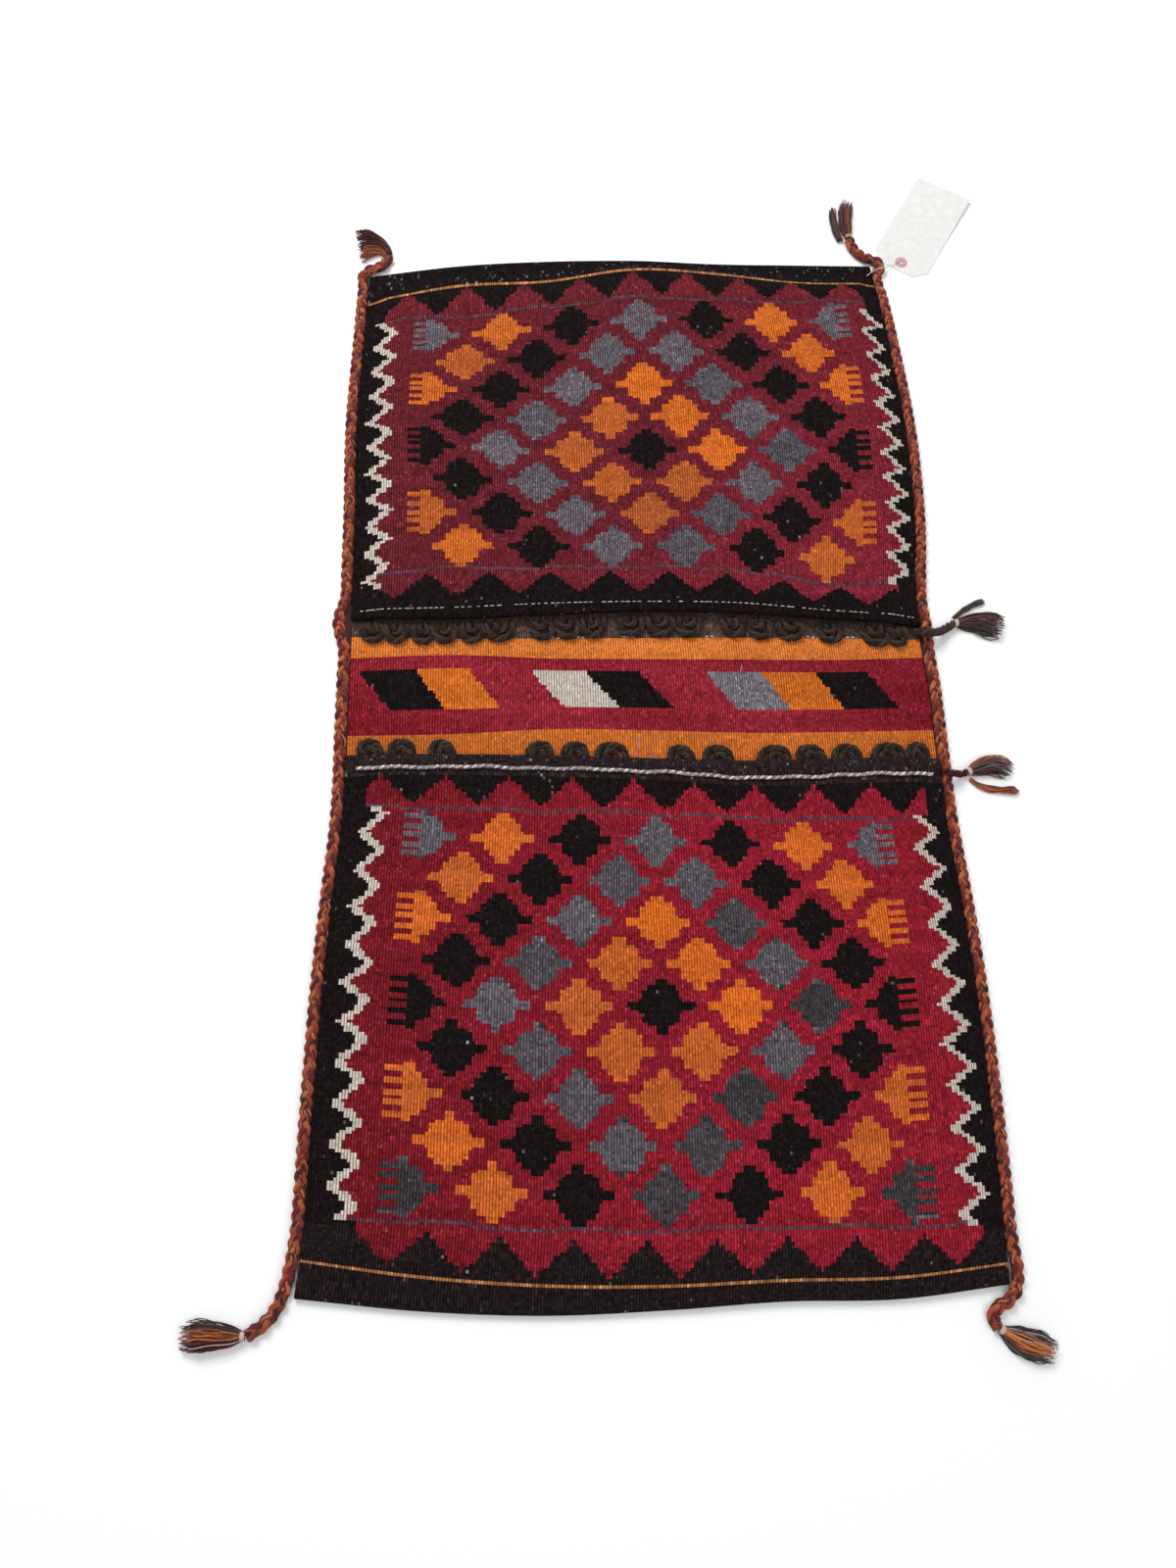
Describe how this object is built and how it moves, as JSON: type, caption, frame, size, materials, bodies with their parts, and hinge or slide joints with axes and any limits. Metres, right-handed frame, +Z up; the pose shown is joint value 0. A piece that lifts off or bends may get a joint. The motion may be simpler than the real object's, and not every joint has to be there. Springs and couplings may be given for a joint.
{
  "type": "kilim saddle bag",
  "caption": "Kilim saddle bag of striped and stepped-cross wool weave: a bridge between double pouches, with braided sides, closure loops and corner tassels, lying flat.",
  "frame": {"origin": "Middle of the flat underside of the bag, on the floor, half way along and half way across the woven strip.", "axes": "+Z up off the floor, +Y along the bag from the lower pouch to the upper pouch, +X to the right seen from above."},
  "size_m": [0.7303, 1.1521, 0.0187],
  "materials": {
    "wool_kilim": "slit-woven wool, ribbed across, matt",
    "wool_braid": "plaited wool yarn, matt",
    "goat_hair_cord": "plied goat-hair cord, slightly shiny",
    "wool_tassel": "loose wool yarn, matt",
    "cotton_yarn": "twisted cotton yarn, matt",
    "tag_paper": null,
    "eyelet_ring": "gummed paper ring, matt"
  },
  "bodies": {
    "root": {"braid_left": "wool_braid", "braid_right": "wool_braid", "closure_loop_lower_01": "goat_hair_cord", "closure_loop_lower_02": "goat_hair_cord", "closure_loop_lower_03": "goat_hair_cord", "closure_loop_lower_04": "goat_hair_cord", "closure_loop_lower_05": "goat_hair_cord", "closure_loop_lower_06": "goat_hair_cord", "closure_loop_lower_07": "goat_hair_cord", "closure_loop_lower_08": "goat_hair_cord", "closure_loop_lower_09": "goat_hair_cord", "closure_loop_lower_10": "goat_hair_cord", "closure_loop_lower_11": "goat_hair_cord", "closure_loop_lower_12": "goat_hair_cord", "closure_loop_lower_13": "goat_hair_cord", "closure_loop_upper_01": "goat_hair_cord", "closure_loop_upper_02": "goat_hair_cord", "closure_loop_upper_03": "goat_hair_cord", "closure_loop_upper_04": "goat_hair_cord", "closure_loop_upper_05": "goat_hair_cord", "closure_loop_upper_06": "goat_hair_cord", "closure_loop_upper_07": "goat_hair_cord", "closure_loop_upper_08": "goat_hair_cord", "closure_loop_upper_09": "goat_hair_cord", "closure_loop_upper_10": "goat_hair_cord", "closure_loop_upper_11": "goat_hair_cord", "closure_loop_upper_12": "goat_hair_cord", "closure_loop_upper_13": "goat_hair_cord", "closure_loop_upper_14": "goat_hair_cord", "closure_loop_upper_15": "goat_hair_cord", "closure_loop_upper_16": "goat_hair_cord", "closure_loop_upper_17": "goat_hair_cord", "closure_loop_upper_18": "goat_hair_cord", "laid_cord": "cotton_yarn", "mouth_cord_lower": "wool_braid", "mouth_cord_upper": "goat_hair_cord", "paper_tag": "tag_paper", "tag_eyelet": "eyelet_ring", "tag_string": "cotton_yarn", "tassel_bottom_left": "wool_tassel", "tassel_bottom_right": "wool_tassel", "tassel_lower_mouth": "wool_tassel", "tassel_lower_mouth_strand": "wool_tassel", "tassel_top_left": "wool_tassel", "tassel_top_right": "wool_tassel", "tassel_top_right_strand": "wool_tassel", "tassel_upper_mouth": "wool_tassel", "tassel_upper_mouth_wisp": "wool_tassel", "tie_bottom_left": "cotton_yarn", "tie_bottom_right": "cotton_yarn", "tie_lower_mouth": "cotton_yarn", "tie_top_right": "cotton_yarn", "tie_upper_mouth": "cotton_yarn", "woven_strip": "wool_kilim"}
  },
  "joints": []
}
